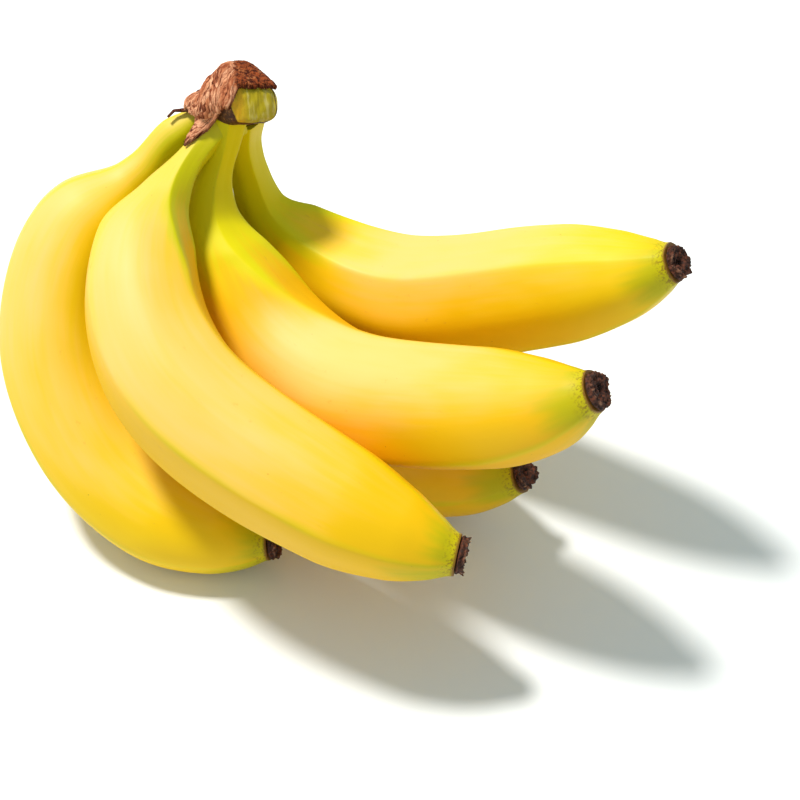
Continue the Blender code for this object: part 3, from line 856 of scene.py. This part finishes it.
@dataclass(frozen=True)
class CrownForm:
    """The crown's measures: two rounded blocks bounded by soft flats, in leaning axes.

    A flat is a normal and its distance from the block's middle. The first is the cut face.
    """

    place: Triple = (-27.0, 55.0, 113.0)
    lean: float = 51.0
    turn: float = 6.0
    rounding: float = 11.0
    flats: Flats = (
        (0.36, 0, 0.93, 12.2), (0.3, 0.8, 0.52, 9.2), (-0.62, 0.45, 0.64, 9.4),
        (-0.74, -0.33, 0.58, 9.8), (1, 0, 0, 12.3), (0.72, 0.69, 0, 9.4), (0, 1, 0, 8.9),
        (-0.78, 0.63, 0, 7.2), (-1, 0, 0, 17.5), (-0.5, -0.87, 0, 12), (0, -1, 0, 8.2),
        (0.5, -0.87, 0, 11.9), (0, 0.25, -0.97, 13.5),
    )
    cushion_shift: Triple = (-2.5, -5.5, -1.0)
    cushion_flats: Flats = (
        (0, 0, 1, 11), (0.62, 0, 0.78, 10.5), (-0.62, 0, 0.78, 7.5), (1, 0, 0, 10.8),
        (-1, 0, 0, 10), (0, -1, 0, 5.2), (-0.64, -0.77, 0, 7), (0, 1, 0, 8),
        (0, -0.3, -0.95, 13),
    )

    JOIN = 16.0
    LEAST = 1e-6
    SEARCH = (3.0, 30.0)
    HALVINGS = 24
    NUDGE = 0.05

    def frame(self) -> Matrix:
        """Where the crown stands.

        Returns:
            The transform that carries its leaning axes into the world.
        """
        turn = Matrix.Rotation(radians(self.turn), 4, "Z")
        lean = Matrix.Rotation(radians(self.lean), 4, "X")
        return Matrix.Translation(Vector(self.place)) @ turn @ lean

    def middle(self) -> Vector:
        """A point deep inside the crown, in the world."""
        return self.frame() @ Vector((0, 0, -8))

    def shares(self, points: np.ndarray, flats: Flats) -> np.ndarray:
        """How near points are to flats.

        Args:
            points: rows of points from the block's middle.
            flats: the block's flats.

        Returns:
            A row for each point and a column for each flat, 1 on the flat.
        """
        rows = np.array(flats)
        normals = rows[:, :3] / np.linalg.norm(rows[:, :3], axis=1, keepdims=True)
        return np.maximum(points @ normals.T, 0) / rows[:, 3]

    def block(self, points: np.ndarray, flats: Flats) -> np.ndarray:
        """Under 1 inside one rounded block and over 1 outside it, one number a point."""
        return (self.shares(points, flats) ** self.rounding).sum(1) ** (1 / self.rounding)

    def gauge(self, points: np.ndarray) -> np.ndarray:
        """Under 1 inside the joined blocks and over 1 outside them.

        Args:
            points: rows of points in the crown's axes.

        Returns:
            One number a point.
        """
        woody = np.maximum(self.block(points, self.flats), self.LEAST)
        moved = points - np.array(self.cushion_shift)
        cushion = np.maximum(self.block(moved, self.cushion_flats), self.LEAST)
        return (woody ** -self.JOIN + cushion ** -self.JOIN) ** (-1 / self.JOIN)

    def surface(self, rays: np.ndarray) -> np.ndarray:
        """Where rays from the crown's middle leave the joined blocks.

        Args:
            rays: rows of unit vectors in the crown's axes.

        Returns:
            Rows of points in the crown's axes.
        """
        low, high = (np.full(len(rays), bound) for bound in self.SEARCH)
        for _ in range(self.HALVINGS):
            middle = (low + high) / 2
            inside = self.gauge(rays * middle[:, None]) < 1
            low, high = np.where(inside, middle, low), np.where(inside, high, middle)
        return rays * low[:, None]

    def points(self, latitudes: Floats, arounds: Floats, lifts: Floats) -> np.ndarray:
        """Points on the crown's surface, each raised by its lift.

        Args:
            latitudes: angles along local X.
            arounds: angles about local X from the top towards the cut face.
            lifts: heights over the surface.

        Returns:
            Rows of points in the world.
        """
        latitude, around = np.radians(latitudes), np.radians(arounds)
        level = np.cos(latitude)
        rays = np.stack([np.sin(latitude), level * np.cos(around), level * np.sin(around)], axis=1)
        spots = self.surface(rays)
        here = self.gauge(spots)
        nudges = np.eye(3) * self.NUDGE
        outward = np.stack([self.gauge(spots + nudge) - here for nudge in nudges], axis=1)
        outward /= np.linalg.norm(outward, axis=1)[:, None]
        raised = spots + outward * np.asarray(lifts)[:, None]
        placed = np.array(self.frame())
        return raised @ placed[:3, :3].T + placed[:3, 3]


SLIM_CUSHION: Flats = (
    (0, 0, 1, 3.5), (0.62, 0, 0.78, 4.5), (-0.62, 0, 0.78, 5.5), (1, 0, 0, 10), (-1, 0, 0, 9),
    (0, -1, 0, 3), (-0.64, -0.77, 0, 5.5), (0, 1, 0, 8), (0, -0.3, -0.95, 12.5),
)


@dataclass(frozen=True)
class Crown:
    """The crown: woody block and green cushion as one skin, its cut face fibrous in a dried rim."""

    form: CrownForm
    finish: Material
    fineness: int = 7
    tuck_span: Pair = (-6.0, -14.0)
    tuck: float = 2.6
    slimming: float = 0.2

    def tucked(self, here: Vector) -> Vector:
        """Draws the left end in, where the husk covers it.

        Args:
            here: a point of the surface, in the crown's axes.

        Returns:
            Where it goes.
        """
        amount = fade(here.x, *self.tuck_span)
        slim = 1 - self.slimming * amount
        return Vector((here.x + self.tuck * amount, here.y * slim, here.z * slim))

    def build(self) -> None:
        """Makes the crown and hands it over for its solid."""
        form, placed = self.form, self.form.frame()
        shape = bmesh.new()
        bmesh.ops.create_icosphere(shape, subdivisions=self.fineness, radius=1.0)
        face, rim, amber = new_numbers(shape, "face", "rim", "amber")
        grain = new_vector(shape, "grain")
        spots = form.surface(np.array([vertex.co.normalized() for vertex in shape.verts]))
        shares = form.shares(spots, form.flats)
        leads, wholes = shares[:, 0] - shares[:, 1:].max(1), form.block(spots, form.flats)
        for vertex, spot, lead, whole in zip(shape.verts, spots, leads, wholes):
            here = self.tucked(Vector(spot))
            on_block, left = fade(whole, 0.95, 0.99), fade(here.x, 6.5, 0.5)
            on_face = on_block * fade(lead, -0.02, 0.03)
            edge = (lead + 0.020 + 0.065 * left) / (0.028 + 0.055 * left)
            on_rim = (0.80 + 0.40 * left) * exp(-edge * edge) * on_block
            # The underside off the cut face takes the dark dried colour: partly the dried tissue,
            # partly painted shade under the crown.
            under = fade(here.y, -2.0, -3.0) * (1 - on_block * fade(here.x, 0, 3.0))
            under = max(under, fade(here.y, -7.2, -8.0)) * (1 - on_face)
            fibres = ripple(here.x * 1.6, here.y * 0.25, here.z * 1.6)
            lumps = noise.noise(here * 0.45)
            lift = 0.16 * fibres * on_face + 0.25 * lumps + (0.50 - 0.6 * left) * on_rim
            vertex.co = (placed @ (here * (1 + lift / here.length))) * MM
            vertex[face] = on_face
            vertex[rim] = max(on_rim, under)
            vertex[amber] = on_face * fade(here.x, 4.5, 0.5)
            vertex[grain] = here * MM
        turn_outward(shape)
        piece = finished("crown_flesh", shape, self.finish)
        hand_over(piece, "crown")


@dataclass(frozen=True)
class Husk:
    """The dry husk: a wrinkled shell over the crown with a pointed flap and a thin curled strand.

    A latitude runs from the left end to the right one, and an angle from the back over the top to
    the front, where the edge has one at the left, middle and right. The flap hangs from that edge
    over the front fruit's stalk.
    """

    form: CrownForm
    finish: Material
    columns: int = 200
    rows: int = 150
    ends: Pair = (-88.0, 62.0)
    back: float = -72.0
    fronts: Triple = (112.0, 106.0, 81.0)
    sheet_size: Pair = (40.0, 30.0)
    border_width: float = 0.9
    thickness: float = 1.15
    border_thinning: float = 0.7
    lift: float = 0.45
    flap_latitudes: Pair = (-78.0, -10.0)
    end_drag: Triple = (0.3, -2.2, -2.2)
    flap_run: Pair = (4.5, 16.5)
    flap_centre: float = 115.0
    flap_half_width: float = 49.0
    flap_length: float = 13.5
    crown_radius: float = 11.0
    strand_sides: int = 14
    strand_spans: int = 40
    strand_radius: float = 0.95
    strand_start: Triple = (-62.0, 104.0, 0.9)
    strand_darkness: float = 1.2
    strand_bends: tuple[Triple, ...] = (
        (-14.0, -2.5, -2.9), (-17.4, -2.9, -2.8), (-19.2, -4.4, -4.0),
    )

    TATTERS = ((3.0, 0.16, 3.0), (2.2, 0.55, 7.0), (1.2, 1.6, 9.0))

    def front(self, latitude: float) -> float:
        """Ragged front edge.

        Args:
            latitude: where along the husk.

        Returns:
            The angle of the edge there.
        """
        left, middle, right = self.fronts
        edge = left + (middle - left) * fade(latitude, -32, -12)
        edge += (right - middle) * fade(latitude, -8, 8)
        for size, rate, row in self.TATTERS:
            edge += size * ripple(latitude * rate, row, 0)
        return edge

    def wrinkle(self, latitude: float, angle: float) -> float:
        """Broad wrinkles across the husk, about 0."""
        fine = 0.5 * ripple(latitude * 0.38, angle * 0.035, 4)
        return ripple(latitude * 0.11, angle * 0.02, 2) + fine

    def height(self, latitude: float, angle: float) -> float:
        """Height over the crown: wrinkled, pitted where it is coarse, and loose at the left end.

        Args:
            latitude: where along the husk.
            angle: where round it.

        Returns:
            The height of the inner surface.
        """
        coarse = fade(latitude, -3, 11)
        pits = ripple(latitude * 0.30, angle * 0.26, 6)
        slant = angle * 0.14 + latitude * 0.2
        furrows = ripple(slant, slant * 0.1 + angle * 0.03, 1)
        height = self.lift + 0.30 * abs(self.wrinkle(latitude, angle)) + 0.35 * coarse * pits
        height += 0.6 * fade(latitude, -12, -48) - 0.4 * fade(latitude, -45, -30)
        height += 0.9 * exp(-((latitude + 46) / 11) ** 2)
        return max(height + 0.32 * (1 - coarse) * furrows, 0.1)

    def over_stalk(self, down: float, aside: float) -> Vector:
        """Point of the flap over the front fruit's stalk.

        Args:
            down: 0 at the husk to 1 at the flap's point.
            aside: 0 at its left edge to 1 at its right one.

        Returns:
            The point of its inner surface, in the world.
        """
        fruit = FRUITS[1]
        top, tip = self.flap_run
        distance = top + (tip - top) * down
        centre, _, inward, across = fruit.station(fruit.line(), distance)
        turn = radians(self.flap_centre - self.flap_half_width * (2 * aside - 1))
        reach = fruit.radius(distance) * 1.08 + 0.2
        return centre + (inward * cos(turn) + across * sin(turn)) * reach

    def places(self) -> list[list[tuple[Vector, float, float]]]:
        """Inner surface.

        Returns:
            Column by column, each point's place, latitude and how far down the flap it is.
        """
        cells = []
        low, high = self.flap_latitudes
        for column in range(self.columns + 1):
            latitude = self.ends[0] + (self.ends[1] - self.ends[0]) * column / self.columns
            aside = (latitude - low) / (high - low)
            reach = max(0.0, 1 - abs(2 * aside - 0.9) ** 1.2) if 0 < aside < 1 else 0.0
            reach *= 1 + 0.10 * ripple(latitude * 0.5, 1, 5)
            front = self.front(latitude)
            over_crown = radians(front - self.back) * self.crown_radius
            total = over_crown + reach * self.flap_length
            for row in range(self.rows + 1):
                run = total * row / self.rows
                angle = self.back + (front - self.back) * min(run / over_crown, 1.0)
                down = max(run - over_crown, 0.0) / self.flap_length
                curl = 0.5 * down + 0.25 * self.wrinkle(latitude, angle)
                cells.append((latitude, angle, self.height(latitude, angle), down, aside, curl))
        middle = self.form.middle()
        latitudes, angles, heights = list(zip(*cells))[:3]
        made = []
        for spot, cell in zip(self.form.points(latitudes, angles, heights), cells):
            latitude, _, _, down, aside, curl = cell
            place = Vector(spot)
            if down > 0:
                over = self.over_stalk(down, aside)
                over += (over - middle).normalized() * curl
                place = place.lerp(over, fade(down, 0, 0.45))
            dragged = fade(latitude, -14, -76) * fade(down, 0.5, 0)
            made.append((place + Vector(self.end_drag) * dragged, latitude, down))
        span = self.rows + 1
        return [made[start:start + span] for start in range(0, len(made), span)]

    def build(self) -> None:
        """Makes the husk and hands it over for its solid."""
        shape = bmesh.new()
        bmesh.ops.create_grid(
            shape, x_segments=self.columns, y_segments=self.rows, size=0.5,
            matrix=Matrix.Translation((0.5, 0.5, 0)),
        )
        fibre = new_vector(shape, "fibre")
        coarse, border, flap = new_numbers(shape, "coarse", "border", "flap")
        places = self.places()
        wide, deep = self.sheet_size
        for vertex in shape.verts:
            u, v = vertex.co.x, vertex.co.y
            place, latitude, down = places[round(u * self.columns)][round(v * self.rows)]
            vertex.co = place * MM
            crosswise, lengthwise = latitude * 0.2, v * deep
            ragged = 5.0 * ripple(crosswise * 0.8, lengthwise * 0.8, 8)
            leaning = lengthwise * 0.7
            vertex[fibre] = (crosswise + leaning) * 0.82, (leaning - crosswise) * 0.82, down
            vertex[coarse] = fade(latitude + ragged, -2, 6)
            vertex[flap] = fade(down, 0, 0.4)
            rim = min(min(v, 1 - v) * deep, min(u, 1 - u) * wide)
            vertex[border] = fade(rim, self.border_width, 0)
        self.thicken(shape)
        self.add_strand(shape)
        turn_outward(shape)
        piece = finished("husk_skin", shape, self.finish, sharp=80.0)
        hand_over(piece, "crown_husk")

    def thicken(self, shape: Shape) -> None:
        """Turns the sheet into a closed shell, thin at its borders.

        Args:
            shape: the husk's bmesh.
        """
        border, outward = shape.verts.layers.float["border"], new_vector(shape, "outward")
        middle = self.form.middle() * MM
        shape.normal_update()
        for vertex in shape.verts:
            side = 1.0 if vertex.normal.dot(vertex.co - middle) > 0 else -1.0
            vertex[outward] = vertex.normal * side
        grown = bmesh.ops.extrude_face_region(shape, geom=shape.faces[:], use_keep_orig=True)
        for vertex in grown["geom"]:
            if isinstance(vertex, bmesh.types.BMVert):
                thickness = self.thickness * (1 - self.border_thinning * vertex[border])
                vertex.co += Vector(vertex[outward]) * thickness * MM

    def add_strand(self, shape: Shape) -> None:
        """Adds the thin curled strand at the husk's left end, darkened as a border is.

        Args:
            shape: the husk's bmesh.
        """
        start = Vector(self.form.points(*([value] for value in self.strand_start))[0])
        knots = [start + Vector(self.end_drag) * 0.7]
        knots += [Vector(self.form.place) + Vector(bend) for bend in self.strand_bends]
        before = set(shape.verts)
        strand = tube(self.strand_sides, self.strand_spans)
        for vertex in strand.verts:
            at = vertex.co.z * (len(knots) - 1)
            k = min(int(at), len(knots) - 2)
            here, ahead = knots[k].lerp(knots[k + 1], at - k), knots[k + 1] - knots[k]
            side = ahead.cross(Vector((0, 0, 1))).normalized()
            up = side.cross(ahead).normalized()
            thin = self.strand_radius * (1 - 0.55 * vertex.co.z)
            wave = 1 + 0.2 * ripple(vertex.co.x * 2, vertex.co.y * 2, at * 2)
            vertex.co = (here + (side * vertex.co.x + up * vertex.co.y * 0.55) * thin * wave) * MM
        mesh = bpy.data.meshes.new("strand")
        strand.to_mesh(mesh)
        strand.free()
        shape.from_mesh(mesh)
        bpy.data.meshes.remove(mesh)
        layers = shape.verts.layers
        for vertex in set(shape.verts) - before:
            vertex[layers.float_vector["fibre"]] = vertex.co / MM
            vertex[layers.float["border"]] = self.strand_darkness


# ---- Studio ----


def stand(data: bpy.types.ID, place: Vector, ahead: Vector) -> Piece:
    """Adds a lamp or camera.

    Args:
        data: the lamp or camera.
        place: where it stands.
        ahead: where it looks.

    Returns:
        Its object, of the same name.
    """
    placed = bpy.data.objects.new(data.name, data)
    placed.location = place * MM
    placed.rotation_euler = ahead.to_track_quat("-Z", "Y").to_euler()
    bpy.context.scene.collection.objects.link(placed)
    return placed


@dataclass(frozen=True)
class Studio:
    """Pale floor, a key lamp high on the left, soft fill from all round, and the camera."""

    target: Triple = (21.0, -15.0, 59.4)
    distance: float = 570.0
    elevation: float = 47.0
    lens: float = 90.0
    sensor: float = 36.0
    key_place: Triple = (-1422.0, 650.0, 3759.0)
    key_colour: Colour = (1.0, 0.985, 0.955)
    key_metres: float = 0.72
    key_power: float = 204.0
    fill_colour: Colour = (0.80, 0.955, 1.0)
    fill: float = 0.55
    floor_metres: float = 4.0

    def build(self) -> None:
        """Builds the floor, lights and camera."""
        bpy.context.scene.view_settings.view_transform = "Standard"
        self.build_floor()
        self.build_lights()
        self.build_camera()

    def build_floor(self) -> None:
        """Adds the floor."""
        shape = bmesh.new()
        bmesh.ops.create_grid(shape, x_segments=1, y_segments=1, size=self.floor_metres / 2)
        finished("floor", shape, FloorFinish().build())

    def build_lights(self) -> None:
        """Adds the key lamp, aimed at the bunch, and even light from all round."""
        lamp = bpy.data.lights.new("key", "AREA")
        lamp.shape = "DISK"
        lamp.size = self.key_metres
        lamp.energy = self.key_power
        lamp.color = self.key_colour
        place = Vector(self.key_place)
        stand(lamp, place, Vector(self.target) - place)
        world = bpy.data.worlds.new("fill")
        world.use_nodes = True
        sky = world.node_tree.nodes["Background"]
        sky.inputs["Color"].default_value = (*self.fill_colour, 1.0)
        sky.inputs["Strength"].default_value = self.fill
        bpy.context.scene.world = world
        world.cycles_visibility.glossy = False

    def build_camera(self) -> None:
        """Adds the camera and makes it the scene's."""
        tilt = radians(self.elevation)
        ahead = Vector((0.0, cos(tilt), -sin(tilt)))
        camera = bpy.data.cameras.new("camera")
        camera.lens = self.lens
        camera.sensor_width = self.sensor
        place = Vector(self.target) - ahead * self.distance
        bpy.context.scene.camera = stand(camera, place, ahead)


def main() -> None:
    """Builds the bunch and its studio, piece by piece."""
    logging.basicConfig(level=logging.INFO, format="%(message)s")
    peel = PeelFinish().build()
    flower = FlowerEndFinish().build()
    for number, fruit in enumerate(FRUITS, 1):
        FruitBody(fruit, peel).build()
        FlowerEnd(fruit, number, flower).build()
    Crown(CrownForm(cushion_flats=SLIM_CUSHION), CrownFinish().build()).build()
    Husk(CrownForm(rounding=16.0), HuskFinish().build()).build()
    Studio().build()


if __name__ == "__main__":
    main()
